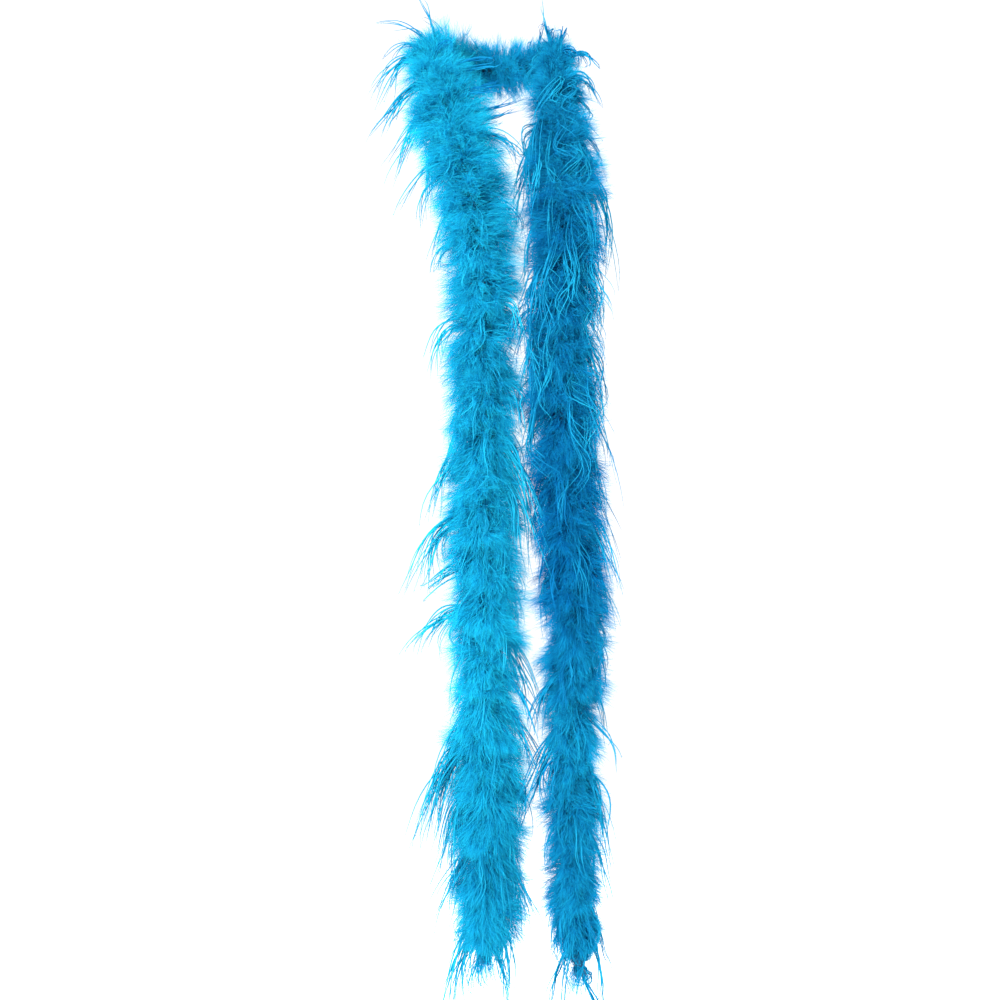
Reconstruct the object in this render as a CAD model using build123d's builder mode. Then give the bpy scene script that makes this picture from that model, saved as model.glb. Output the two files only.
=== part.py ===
from build123d import *

import os
from math import cos, radians, sin, tan

# A feather boa as it is worn: once round the back of the neck, with its two tails hanging in front.
# Millimetres, +Z up. The wearer faces -Y, and the origin is on the nape, where the boa rests.
# "left" and "right" are as seen by somebody who faces the wearer, so the left tail is at -X.

# Driving dimensions
cord_radius = 3.0
binding_radius = 4.4
down_root_radius = 16.0
down_radius = {"left": 38.0, "right": 34.0}
neck_radius = 54.0
neck_height = 430.0
whorl_pitch = 18.0
whorl_overlap = 2.0
waist_every = 4
waist_number = 2
waist_share = 0.84
stretch_gap = 7.0
nape_overlap = 1.0
nape_half = 62.0
collar_share = 0.52
strand_radius = 1.3
strand_root_gap = 1.0
strand_bow_reach = 0.68
strand_bow_drop = 0.32
knot_radius = 7.5
whipping_radius = 6.0
whipping_length = 14.0
tuft_radius = 15.0
tuft_length = 38.0

# How far each kind of hinge turns the cord at most, in degrees
side_swing = 40
front_swing = 50
middle_bend = 60

# Clearances at the hinges: the cord's ends, the binding's ends and the down
cord_gap = 1.2
binding_gap = 3.2
down_gap = 1.5
cord_end_round = 2.2
corner_share = 0.45

# The cord's route from the nape to each end: round the neck, over the chest and down
runs = {
    "left": [
        (-34, 17, -2),
        (-66, -8, 4),
        (-69, -56, 5),
        (-61, -94, -38),
        (-41, -138, -112),
        (-20, -171, -188),
        (-11, -189, -264),
        (-13, -193, -345),
        (-11, -192, -425),
        (-12, -194, -505),
        (-8, -193, -585),
        (-10, -195, -665),
        (-9, -193, -745),
        (-6, -195, -825),
        (-8, -193, -905),
        (-5, -194, -968),
        (-11, -192, -1020),
    ],
    "right": [
        (34, 17, -2),
        (67, -8, 4),
        (73, -56, 4),
        (71, -94, -38),
        (74, -140, -112),
        (79, -181, -188),
        (77, -203, -264),
        (73, -207, -345),
        (75, -206, -425),
        (79, -208, -505),
        (85, -206, -585),
        (90, -207, -665),
        (86, -205, -745),
        (85, -207, -825),
        (86, -206, -905),
        (89, -208, -975),
        (94, -206, -1031),
    ],
}
nape = (0, 17, -2)
outward = {"left": -1, "right": 1}

# Each hinge is in the middle of a run, which is counted from the nape
hinge_runs = {"side": 7, "front": 8, "bend": 12}

# Long strands as (share of the body's length, turn from outward, reach, drop), each rooted in the cord
collar_strands = [
    (0.14, 40, 62, 16),
    (0.22, -15, 66, 24),
    (0.30, 25, 60, 34),
    (0.40, -30, 54, 46),
    (0.52, 10, 52, 60),
]
chest_strands = [
    (0.60, -25, 54, 62),
    (0.66, 35, 52, 66),
    (0.73, 0, 58, 70),
]
hip_strands = [
    (0.12, -60, 52, 92),
    (0.20, 10, 66, 100),
    (0.34, 50, 56, 96),
    (0.46, -20, 64, 104),
]
hem_strands = [
    (0.20, 35, 54, 84),
    (0.36, -50, 50, 88),
    (0.50, -5, 60, 92),
    (0.66, 30, 56, 86),
]

os.makedirs("parts", exist_ok=True)


def keep(part, name):
    """Label a finished piece and write it."""
    part.label = name
    export_step(part, f"parts/{name}.step")


def corner_radii(points):
    """The largest arc that each corner's two runs leave room for."""
    found = []
    for before, corner, after in zip(points, points[1:], points[2:]):
        arriving = Vector(corner) - Vector(before)
        leaving = Vector(after) - Vector(corner)
        half_turn = radians(arriving.get_angle(leaving)) / 2
        shorter = min(arriving.length, leaving.length)
        found.append(corner_share * shorter / tan(half_turn))
    return found


route = runs["left"][::-1] + runs["right"]
radius_at = dict(zip(route[1:-1], corner_radii(route)))
print("cord corner radii", [round(radius) for radius in radius_at.values()])


def hinge_point(side, kind):
    """The point halfway along a hinge's run."""
    number = hinge_runs[kind]
    return (Vector(runs[side][number - 1]) + Vector(runs[side][number])) * 0.5


def path_through(points, trim_start, trim_finish):
    """Straight runs joined by tangent arcs, with the first and last run cut short."""
    start, finish = Vector(points[0]), Vector(points[-1])
    start += (Vector(points[1]) - start).normalized() * trim_start
    finish += (Vector(points[-2]) - finish).normalized() * trim_finish
    with BuildLine() as line:
        FilletPolyline(start, *points[1:-1], finish, radius=[radius_at[p] for p in points[1:-1]])
    return line.wire()


def station(path, distance, ahead=1, side="left"):
    """The plane across a path, its Z towards the end of the tail and its X outward."""
    origin = path.position_at(distance, PositionMode.LENGTH)
    forward = path.tangent_at(distance, PositionMode.LENGTH) * ahead
    out = Vector(outward[side], 0, 0)
    return Plane(origin, x_dir=out - forward * out.dot(forward), z_dir=forward)


def make_core(name, points, gaps):
    """A stretch of the twisted cord, with rounded ends."""
    path = path_through(points, *gaps)
    with BuildPart() as core:
        with BuildSketch(Plane(path @ 0, z_dir=path % 0)) as section:
            Circle(cord_radius)
        sweep(path=path)
        fillet(core.faces().filter_by(GeomType.PLANE).edges(), cord_end_round)
    keep(core.part, f"core_{name}")
    by_formula = section.sketch.area * path.length
    print(f"core_{name} volume", round(core.part.volume), "section times length", round(by_formula))
    return core.part


def make_binding(name, points, gaps):
    """The thread wound over the quills: a sleeve on the cord."""
    path = path_through(points, *gaps)
    with BuildPart() as binding:
        with BuildSketch(Plane(path @ 0, z_dir=path % 0)):
            Circle(binding_radius)
            Circle(cord_radius, mode=Mode.SUBTRACT)
        sweep(path=path)
    keep(binding.part, f"binding_{name}")


def rim_radius(full, room, bend):
    """A whorl's radius, or less where a hinge this far off needs room to turn by half the bend each side."""
    return min(full, (room - down_gap) / tan(radians(bend) / 2))


def add_whorls(path, zero, ahead, side, start, finish, hinge_at, bend):
    """Overlapping cones of down, each flaring towards the end of the tail."""
    count = round((finish - start) / whorl_pitch)
    pitch = (finish - start) / count
    for number in range(count):
        rim_at = start + (number + 1) * pitch
        full = down_radius[side] * (waist_share if number % waist_every == waist_number else 1)
        radius = rim_radius(full, hinge_at - rim_at, bend)
        height = pitch + (whorl_overlap if number else -stretch_gap)
        if radius > down_root_radius:
            with Locations(station(path, zero + ahead * rim_at, ahead, side)):
                Cone(
                    down_root_radius,
                    radius,
                    height,
                    align=(Align.CENTER, Align.CENTER, Align.MAX),
                )


def bore_for_binding(path):
    """The way through the down for the bound cord."""
    with BuildSketch(Plane(path @ 0, z_dir=path % 0)) as bore:
        Circle(binding_radius)
    sweep(bore.sketch, path=path, mode=Mode.SUBTRACT)


def room_for_neck():
    """The wearer's neck, which the down is pressed against."""
    with Locations((0, -neck_radius, 0)):
        Cylinder(neck_radius, neck_height, mode=Mode.SUBTRACT)


def make_strands(name, path, zero, ahead, side, length, strands):
    """Long drooping strands, each an arc that leaves the cord and hangs beside the down."""
    with BuildPart() as plume:
        for share, turn, reach, drop in strands:
            place = station(path, zero + ahead * share * length, ahead, side)
            across, along = cos(radians(turn)), outward[side] * sin(radians(turn))
            root = binding_radius + strand_root_gap
            bow = strand_bow_reach * reach
            arc_points = [
                place.from_local_coords((root * across, root * along, 0)),
                place.from_local_coords((bow * across, bow * along, strand_bow_drop * drop)),
                place.from_local_coords((reach * across, reach * along, drop)),
            ]
            with BuildLine() as line:
                ThreePointArc(*arc_points)
            with BuildSketch(Plane(line.line @ 0, z_dir=line.line % 0)):
                Circle(strand_radius)
            sweep(path=line.wire())
    keep(plume.part, f"ostrich_{name}")


def make_neck():
    """The loop behind the neck and both runs over the chest, down to the first hinges."""
    left_hinge, right_hinge = hinge_point("left", "side"), hinge_point("right", "side")
    number = hinge_runs["side"]
    points = [left_hinge, *runs["left"][number - 1 :: -1], *runs["right"][:number], right_hinge]
    make_core("neck", points, (cord_gap, cord_gap))
    make_binding("neck", points, (binding_gap, binding_gap))
    path = path_through(points, 0, 0)
    zero = path.length * path.param_at_point(nape)
    lengths = {"left": zero, "right": path.length - zero}

    with BuildPart() as down:
        for side, length in lengths.items():
            start = -stretch_gap - nape_overlap
            add_whorls(path, zero, outward[side], side, start, nape_half, length, side_swing)
        bore_for_binding(path)
        room_for_neck()
    keep(down.part, "marabou_nape")

    for side, length in lengths.items():
        for place, start, finish in (
            ("collar", nape_half, collar_share * length),
            ("chest", collar_share * length, length),
        ):
            with BuildPart() as down:
                add_whorls(path, zero, outward[side], side, start, finish, length, side_swing)
                bore_for_binding(path)
                room_for_neck()
            keep(down.part, f"marabou_{side}_{place}")
        for place, strands in (("collar", collar_strands), ("chest", chest_strands)):
            make_strands(f"{side}_{place}", path, zero, outward[side], side, length, strands)


def make_tail_piece(side, name, points, gaps, bends, stretches, strands):
    """One jointed piece of a tail: its cord, binding, stretches of down and long strands."""
    full = f"{side}_{name}"
    core = make_core(full, points, [cord_gap if gap else 0 for gap in gaps])
    make_binding(full, points, [binding_gap if gap else whipping_length + knot_radius for gap in gaps])
    path = path_through(points, 0, 0)
    length = path.length if gaps[1] else path.length - whipping_length - knot_radius
    first = binding_gap + down_root_radius * tan(radians(bends[0]) / 2)
    share = (length - first) / len(stretches)
    for number, place in enumerate(stretches):
        start = first + number * share
        with BuildPart() as down:
            add_whorls(path, 0, 1, side, start, start + share, length if gaps[1] else 2 * length, bends[1])
            bore_for_binding(path)
        keep(down.part, f"marabou_{side}_{place}")
    if strands:
        make_strands(full, path, 0, 1, side, length, strands)
    return path, core


def make_end(side, path, core):
    """The whipping, the knot and the last tuft at the end of a tail."""
    with BuildPart() as whipping:
        with Locations(station(path, path.length - knot_radius, 1, side)):
            Cylinder(
                whipping_radius,
                whipping_length,
                align=(Align.CENTER, Align.CENTER, Align.MAX),
            )
        add(core, mode=Mode.SUBTRACT)
    keep(whipping.part, f"whipping_{side}")

    end = station(path, path.length, 1, side)
    with BuildPart() as knot:
        with Locations(end):
            Sphere(knot_radius)
        add(core, mode=Mode.SUBTRACT)
    keep(knot.part, f"knot_{side}")

    with BuildPart() as tuft:
        with Locations(end):
            Cone(
                cord_radius,
                tuft_radius,
                tuft_length,
                align=(Align.CENTER, Align.CENTER, Align.MIN),
            )
            Sphere(knot_radius, mode=Mode.SUBTRACT)
    keep(tuft.part, f"tuft_{side}")


make_neck()
for side, run in runs.items():
    side_hinge, front_hinge, bend_hinge = (hinge_point(side, kind) for kind in hinge_runs)
    print(side, "hinges", side_hinge, front_hinge, bend_hinge)
    link = [side_hinge, *run[hinge_runs["side"] : hinge_runs["front"]], front_hinge]
    upper = [front_hinge, *run[hinge_runs["front"] : hinge_runs["bend"]], bend_hinge]
    lower = [bend_hinge, *run[hinge_runs["bend"] :]]
    make_tail_piece(side, "link", link, (1, 1), (side_swing, front_swing), ["bust"], [])
    make_tail_piece(
        side, "upper", upper, (1, 1), (front_swing, middle_bend), ["waist", "hip"], hip_strands
    )
    path, core = make_tail_piece(
        side, "lower", lower, (1, 0), (middle_bend, middle_bend), ["thigh", "knee"], hem_strands
    )
    make_end(side, path, core)
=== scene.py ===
"""The look of a worn feather boa: twisted cord, winding thread, marabou down and long ostrich plumes.

Metres, +Z up. The wearer faces -Y, the origin is on the nape, and the left tail is the one at -X.
"""

from math import pi, radians

import bpy
import numpy as np
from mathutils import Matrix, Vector


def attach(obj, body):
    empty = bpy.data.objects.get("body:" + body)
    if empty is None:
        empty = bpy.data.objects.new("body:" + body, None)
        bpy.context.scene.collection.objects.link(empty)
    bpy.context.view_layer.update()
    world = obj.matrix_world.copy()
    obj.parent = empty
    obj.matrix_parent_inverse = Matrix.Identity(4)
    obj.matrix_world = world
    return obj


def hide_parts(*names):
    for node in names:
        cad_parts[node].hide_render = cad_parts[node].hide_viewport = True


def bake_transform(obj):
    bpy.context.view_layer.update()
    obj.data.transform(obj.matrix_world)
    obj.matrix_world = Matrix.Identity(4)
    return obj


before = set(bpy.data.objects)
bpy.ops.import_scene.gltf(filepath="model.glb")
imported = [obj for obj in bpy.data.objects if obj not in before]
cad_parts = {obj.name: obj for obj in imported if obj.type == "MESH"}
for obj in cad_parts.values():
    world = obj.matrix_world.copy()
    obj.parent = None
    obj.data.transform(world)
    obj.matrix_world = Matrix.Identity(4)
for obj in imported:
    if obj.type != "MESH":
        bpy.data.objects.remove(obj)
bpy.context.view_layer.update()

# The wearer's neck, which no feather may enter
neck_axis = np.array((0.0, -0.054))
neck_radius = 0.0535
neck_foot = -0.085

# The cord's route on each side, from the nape to the end of the tail, as in the CAD source
nape = (0.0, 0.017, -0.002)
routes = {
    "left": [
        (-0.034, 0.017, -0.002), (-0.066, -0.008, 0.004), (-0.069, -0.056, 0.005),
        (-0.061, -0.094, -0.038), (-0.041, -0.138, -0.112), (-0.020, -0.171, -0.188),
        (-0.011, -0.189, -0.264), (-0.013, -0.193, -0.345), (-0.011, -0.192, -0.425),
        (-0.012, -0.194, -0.505), (-0.008, -0.193, -0.585), (-0.010, -0.195, -0.665),
        (-0.009, -0.193, -0.745), (-0.006, -0.195, -0.825), (-0.008, -0.193, -0.905),
        (-0.005, -0.194, -0.968), (-0.011, -0.192, -1.020),
    ],
    "right": [
        (0.034, 0.017, -0.002), (0.067, -0.008, 0.004), (0.073, -0.056, 0.004),
        (0.071, -0.094, -0.038), (0.074, -0.140, -0.112), (0.079, -0.181, -0.188),
        (0.077, -0.203, -0.264), (0.073, -0.207, -0.345), (0.075, -0.206, -0.425),
        (0.079, -0.208, -0.505), (0.085, -0.206, -0.585), (0.090, -0.207, -0.665),
        (0.086, -0.205, -0.745), (0.085, -0.207, -0.825), (0.086, -0.206, -0.905),
        (0.089, -0.208, -0.975), (0.094, -0.206, -1.031),
    ],
}
outward = {"left": -1.0, "right": 1.0}

# Cord and thread
yarn_radius = 0.00155
yarns = 3
yarn_lay = 0.022
thread_radius = 0.00035
winding_radius = 0.0042
winding_pitch = 0.0023
line_resolution = 16
beyond_ends = 0.20

whipping_length = 0.014
whipping_radius = 0.0052
whipping_pitch = 0.0014
whipping_thread = 0.00077
knot_radius = 0.0075
knot_strand = 0.34 * knot_radius
knot_height = 1.6
knot_steps = 96
knot_sides = 10

# Down, and how far it reaches out. It thins towards the tail's end, above a thin stem by the knot
down_reach = {"left": 0.0430, "right": 0.0400}
longest_down = 0.056
end_taper = 0.046
end_stem = 0.010
thinnest_end = 0.13
tuft_size = 0.11
tuft_slant = 0.35
tuft_sweep = 0.35
stray = 0.25
widest_fall = 1.6
field_turns = (0, 1, 1, 2, 2, 3)
field_rates = (7.0, 26.0)
tumble = 0.5

# Underdown: short broad fluff, its lengths as shares of the reach
underdown_per_metre = 20000
underdown_width = 0.0011
underdown_shape = (0.7, 1.0, 0.7)
underdown_lean = 0.8
underdown_lengths = (0.30, 0.72)
# How much darker the underdown is than the feathers: painted shade in the depth of the down
underdown_painted_shade = 0.10
underdown_tones = 0.06

# Small feathers: a quill each, with soft barbs. Quills and barbs are shares of the reach
feathers_per_metre = 2450
feather_lean = 0.60
feather_size = 0.95
feather_sizes = 0.13
feather_curl = 0.50
feather_tones = 0.08
quill_steps = 4
quill_length = 0.58
quill_slant = 0.3
quill_widths = (1.6, 0.8)
barbs_per_feather = 34
barb_steps = 3
barb_width = 0.00038
barb_widths = (1.0, 0.55)
barb_length = 0.68
barb_shortening = 0.24
barb_crowding = 0.7
barb_spread = (0.9, 0.4)
barb_stray = 0.20
barb_tones = 0.04
short_of_tip = 0.001

# Wisps below the knot
tuft_wisps = 210
tuft_height = 0.012
tuft_lengths = (0.012, 0.052)
tuft_tone = 0.45
tuft_tones = 0.15

# The down's slant towards the end of the tail, as (distance from the nape, slant)
down_lay = [(0.0, 0.10), (0.12, 0.20), (0.25, 0.50), (0.60, 0.80), (1.20, 1.15)]

# How full the down is, as (height, fullness) from the end of the tail to the nape
fullness = {
    "left": [
        (-1.03, 0.86), (-0.97, 0.94), (-0.93, 0.90), (-0.85, 0.94), (-0.77, 0.92), (-0.68, 0.86),
        (-0.57, 0.97), (-0.30, 0.90), (-0.24, 0.90), (-0.18, 1.02), (-0.13, 1.04), (-0.09, 1.16),
        (-0.05, 1.08), (-0.02, 0.80), (0.00, 0.70),
    ],
    "right": [
        (-1.04, 0.56), (-0.97, 0.66), (-0.90, 0.70), (-0.72, 0.70), (-0.66, 0.84), (-0.58, 0.92),
        (-0.30, 0.82), (-0.22, 0.98), (-0.14, 0.98), (-0.10, 0.88), (-0.06, 0.74), (-0.02, 0.55),
        (0.00, 0.48),
    ],
}

# How light the down is from 0 to 1, as (height, tone). The right tail's lower tones are painted shade, for
# the shade it lies in away from the key light
down_tone_with_painted_shade = {
    "left": [
        (-1.03, 0.66), (-0.87, 0.66), (-0.70, 0.86), (-0.58, 0.74), (-0.30, 0.68), (-0.12, 0.84),
        (0.00, 0.80),
    ],
    "right": [
        (-1.04, 0.34), (-0.88, 0.34), (-0.79, 0.46), (-0.68, 0.30), (-0.58, 0.06), (-0.45, 0.14),
        (-0.33, 0.24), (-0.22, 0.14), (-0.12, 0.32), (0.00, 0.38),
    ],
}

# The nape: half its length, its fullness and tone at the middle, and over how much cord the tone changes to
# the tails' tones, painted shade included
nape_half = 0.062
nape_fullness = 0.75
nape_tone = 0.42
nape_blend = 0.12

# Where the winding is pulled tight: height, depth of the waist as a share, and half its width
waists = {
    "left": [
        (-0.184, 0.16, 0.014),
        (-0.316, 0.16, 0.014),
        (-0.437, 0.18, 0.014),
        (-0.590, 0.14, 0.016),
        (-0.695, 0.18, 0.016),
        (-0.900, 0.18, 0.016),
    ],
    "right": [
        (-0.110, 0.14, 0.014),
        (-0.260, 0.12, 0.016),
        (-0.560, 0.14, 0.016),
        (-0.790, 0.16, 0.016),
    ],
}

# Plumes: long ostrich strands with a fringe of barbules
plume_steps = 14
plume_sides = 3
plume_taper = 0.9
plume_tones = 0.1
lying_width = 0.0016
lying_tones = 0.22
lying_rows = 4
highest_root = 0.02
bunch_width = 0.0020
bunch_wave = 0.030
bunch_turns = 1.4
strands_per_lock = 4
lock_looseness = 0.28
lock_gap = 0.006
strand_gap = 0.002
barbules_per_plume = 50
barbule_length = 0.0026
barbule_width = 0.00042
barbule_lean = 2.0
barbule_stray = 0.35
barbule_tones = 0.04

# How much the tone differs across one ribbon and around one round fibre
ribbon_tone = 0.006
round_tone = 0.02

# Where each row of random numbers starts
seeds = {"fields": 7, "plumes": 40, "tuft": 60, "nape": 90}

# Studio
floor_half = 7.0
floor_height = -1.40
sky_strength = 1.1
camera_lens = 83.8
camera_place = (0.0066, -2.755, -0.514)
lit_place = (0.0, -0.19, -0.5)


# ------------------------ small tools


def unit(vectors):
    """Vectors of length one along the last axis."""
    return vectors / np.maximum(np.linalg.norm(vectors, axis=-1, keepdims=True), 1e-9)


def smooth_line(points):
    """The points that a NURBS spline through this route gives."""
    curve = bpy.data.curves.new("route", "CURVE")
    curve.dimensions = "3D"
    curve.resolution_u = line_resolution
    spline = curve.splines.new("NURBS")
    spline.points.add(len(points) - 1)
    for target, point in zip(spline.points, points):
        target.co = (*point, 1.0)
    spline.order_u = 3
    spline.use_endpoint_u = True
    carrier = bpy.data.objects.new("route", curve)
    mesh = bpy.data.meshes.new_from_object(carrier)
    line = np.array([vertex.co[:] for vertex in mesh.vertices])
    bpy.data.objects.remove(carrier)
    bpy.data.curves.remove(curve)
    bpy.data.meshes.remove(mesh)
    return line


def lengths_along(line):
    """How far along a line each of its points is."""
    return np.concatenate([[0.0], np.cumsum(np.linalg.norm(np.diff(line, axis=0), axis=1))])


line = smooth_line([*routes["left"][::-1], nape, *routes["right"]])
line_lengths = lengths_along(line)
line_lengths -= line_lengths[np.argmin(np.linalg.norm(line - nape, axis=1))]
cord_ends = {"left": float(line_lengths[0]), "right": float(line_lengths[-1])}

# The line goes on straight beyond the cord's ends, so that feathers can hang below them
line = np.concatenate([
    line[:1] + unit(line[:1] - line[3:4]) * beyond_ends,
    line,
    line[-1:] + unit(line[-1:] - line[-4:-3]) * beyond_ends,
])
line_lengths = np.concatenate([line_lengths[:1] - beyond_ends, line_lengths, line_lengths[-1:] + beyond_ends])


def cord_frame(at):
    """The cord's centre, and its axes along, away from the wearer and outward, at signed distances
    from the nape: negative on the left tail. The axis along points to the right tail's end."""
    near = 0.004
    before, places, after = (
        np.stack([np.interp(at + step, line_lengths, line[:, k]) for k in range(3)], axis=-1)
        for step in (-near, 0.0, near)
    )
    along = unit(after - before)
    away = places - np.append(neck_axis, 0.0)
    away[..., 2] = 0.0
    away = unit(away - along * (away * along).sum(-1, keepdims=True))
    return places, along, away, np.cross(away, along)


def distance_at_height(side, height):
    """How far from the nape, along the cord, a tail passes a height."""
    own = line_lengths * outward[side] > 0
    order = np.argsort(-line[own][:, 2])
    return float(np.interp(-height, -line[own][order][:, 2], np.abs(line_lengths[own][order])))


def keep_off_neck(points):
    """Moves points that are inside the wearer's neck to its skin."""
    offset = points[..., :2] - neck_axis
    far = np.linalg.norm(offset, axis=-1, keepdims=True)
    inside = (far < neck_radius) & (points[..., 2:] > neck_foot)
    skin = neck_axis + offset / np.maximum(far, 1e-6) * neck_radius
    points[..., :2] = np.where(inside, skin, points[..., :2])
    return points


def grow(roots, starts, ends, lengths, steps):
    """Fibres that leave their roots along starts and turn towards ends, as points[fibre, step]."""
    share = ((np.arange(steps) + 0.5) / steps)[None, :, None]
    directions = starts[:, None] * (1.0 - share) + ends[:, None] * share
    moves = unit(directions) * (lengths / steps)[:, None, None]
    return np.concatenate([roots[:, None], roots[:, None] + np.cumsum(moves, axis=1)], axis=1)


def cross_axes(points, facing):
    """Two axes across each fibre at each of its points: flat ribbons along the first one face that way."""
    along = unit(np.gradient(points, axis=1))
    side = unit(np.cross(along, facing[:, None]))
    return side, np.cross(along, side)


def any_way(count, random):
    """Random directions."""
    return unit(random.normal(0.0, 1.0, (count, 3)))


def along_fibres(points, owner, where):
    """Places on their owners' fibres, where counted in steps, the way forward there and the step."""
    step, part = where.astype(int), (where % 1.0)[:, None]
    low, high = points[owner, step], points[owner, step + 1]
    return low * (1.0 - part) + high * part, unit(high - low), step


def read_table(pairs, at):
    """The value at a place in a table of (place, value) pairs."""
    return np.interp(at, *np.transpose(pairs))


def sway(share, turns, phase):
    """A sine wave along a strand, which is zero at the root."""
    return np.sin(share * turns * 2.0 * pi + phase) - np.sin(phase)


def yarn_corners(centres, across, other, radius, sides):
    """The corners of a round yarn, ring by ring."""
    around = (np.arange(sides) / sides * 2.0 * pi)[None, :, None]
    ring = across[:, None] * np.cos(around) + other[:, None] * np.sin(around)
    return (centres[:, None] + radius * ring).reshape(-1, 3)


def ring_faces(here, there, step, after):
    """Four-sided faces between two rings of corners, which start at step and at after."""
    return np.stack([step + here, step + there, after + there, after + here], axis=-1)


def ribbons(points, widths, shades, facing):
    """Pointed flat fibres, as (corners, face arrays, shade of each corner)."""
    count, steps = points.shape[:2]
    side, _ = cross_axes(points, facing)
    half = side[:, :-1] * widths[..., None] / 2.0
    corners = np.concatenate([points[:, :-1] - half, points[:, :-1] + half, points[:, -1:]], axis=1)
    first = (np.arange(count) * (2 * steps - 1))[:, None]
    step = np.arange(steps - 2)[None, :]
    low, high = first + step, first + step + steps - 1
    quads = np.stack([low, high, high + 1, low + 1], axis=-1)
    tip = np.stack([first + steps - 2, first + 2 * steps - 3, first + 2 * steps - 2], axis=-1)
    share = np.linspace(0.0, 1.0, steps)[None, :]
    shade = np.empty((count, 2 * steps - 1, 2))
    shade[:, : steps - 1, 0] = shades[:, None] - ribbon_tone
    shade[:, steps - 1 :, 0] = shades[:, None] + ribbon_tone
    shade[:, : steps - 1, 1] = share[:, :-1]
    shade[:, steps - 1 : -1, 1] = share[:, :-1]
    shade[:, -1, 1] = 1.0
    return corners.reshape(-1, 3), [quads.reshape(-1, 4), tip.reshape(-1, 3)], shade.reshape(-1, 2)


def tubes(points, radii, shades, sides, facing):
    """Round fibres that end in a point, as (corners, face arrays, shade of each corner)."""
    count, steps = points.shape[:2]
    across, other = cross_axes(points, facing)
    angle = (np.arange(sides) / sides * 2.0 * pi)[None, None, :, None]
    ring = across[:, :, None] * np.cos(angle) + other[:, :, None] * np.sin(angle)
    corners = points[:, :, None] + ring * radii[..., None, None]
    first = (np.arange(count) * steps * sides)[:, None, None]
    step = first + (np.arange(steps - 1) * sides)[None, :, None]
    here = np.arange(sides)[None, None, :]
    quads = ring_faces(here, (here + 1) % sides, step, step + sides)
    shade = np.empty((count, steps, sides, 2))
    shade[..., 0] = shades[:, None, None] + (here / sides - 0.5) * round_tone
    shade[..., 1] = np.linspace(0.0, 1.0, steps)[None, :, None]
    return corners.reshape(-1, 3), [quads.reshape(-1, 4)], shade.reshape(-1, 2)


def new_object(name, data):
    """An object in the scene for this mesh, lamp or camera."""
    made = bpy.data.objects.new(name, data)
    bpy.context.scene.collection.objects.link(made)
    return made


def make_piece(name, parts, material):
    """One object from (corners, face arrays, shades) parts."""
    corners, loops, totals, shades = [], [], [], []
    first = 0
    for part_corners, part_faces, part_shades in parts:
        for faces in part_faces:
            loops.append((faces + first).ravel())
            totals.append(np.full(len(faces), faces.shape[1]))
        corners.append(part_corners)
        shades.append(part_shades)
        first += len(part_corners)
    corners, loops = np.concatenate(corners), np.concatenate(loops).astype(np.int32)
    totals, shades = np.concatenate(totals), np.clip(np.concatenate(shades), 0.001, 0.999)
    mesh = bpy.data.meshes.new(name)
    mesh.vertices.add(len(corners))
    mesh.vertices.foreach_set("co", corners.astype(np.float32).ravel())
    mesh.loops.add(len(loops))
    mesh.loops.foreach_set("vertex_index", loops)
    mesh.polygons.add(len(totals))
    starts = np.concatenate([[0], np.cumsum(totals)[:-1]]).astype(np.int32)
    mesh.polygons.foreach_set("loop_start", starts)
    mesh.update(calc_edges=True)
    uv = mesh.uv_layers.new(name="OFBake")
    uv.uv.foreach_set("vector", shades[loops].astype(np.float32).ravel())
    mesh.validate()
    mesh.materials.append(material)
    piece = new_object(name, mesh)
    return piece


# ------------------------ materials


def new_material(name):
    """An empty node material, its nodes and a function that makes links."""
    material = bpy.data.materials.new(name)
    material.use_nodes = True
    nodes = material.node_tree.nodes
    nodes.clear()
    return material, nodes, material.node_tree.links.new


def colour_ramp(nodes, stops):
    """A colour ramp with these (place, colour) stops."""
    ramp = nodes.new("ShaderNodeValToRGB")
    elements = ramp.color_ramp.elements
    for number, (place, colour) in enumerate(stops):
        element = elements[number] if number < 2 else elements.new(place)
        element.position = place
        element.color = (*colour, 1.0)
    return ramp


def multiplied(nodes, link, first, second):
    """The product of two colours."""
    mix = nodes.new("ShaderNodeMix")
    mix.data_type = "RGBA"
    mix.blend_type = "MULTIPLY"
    mix.inputs["Factor"].default_value = 1.0
    link(first, mix.inputs["A"])
    link(second, mix.inputs["B"])
    return mix.outputs["Result"]


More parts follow.
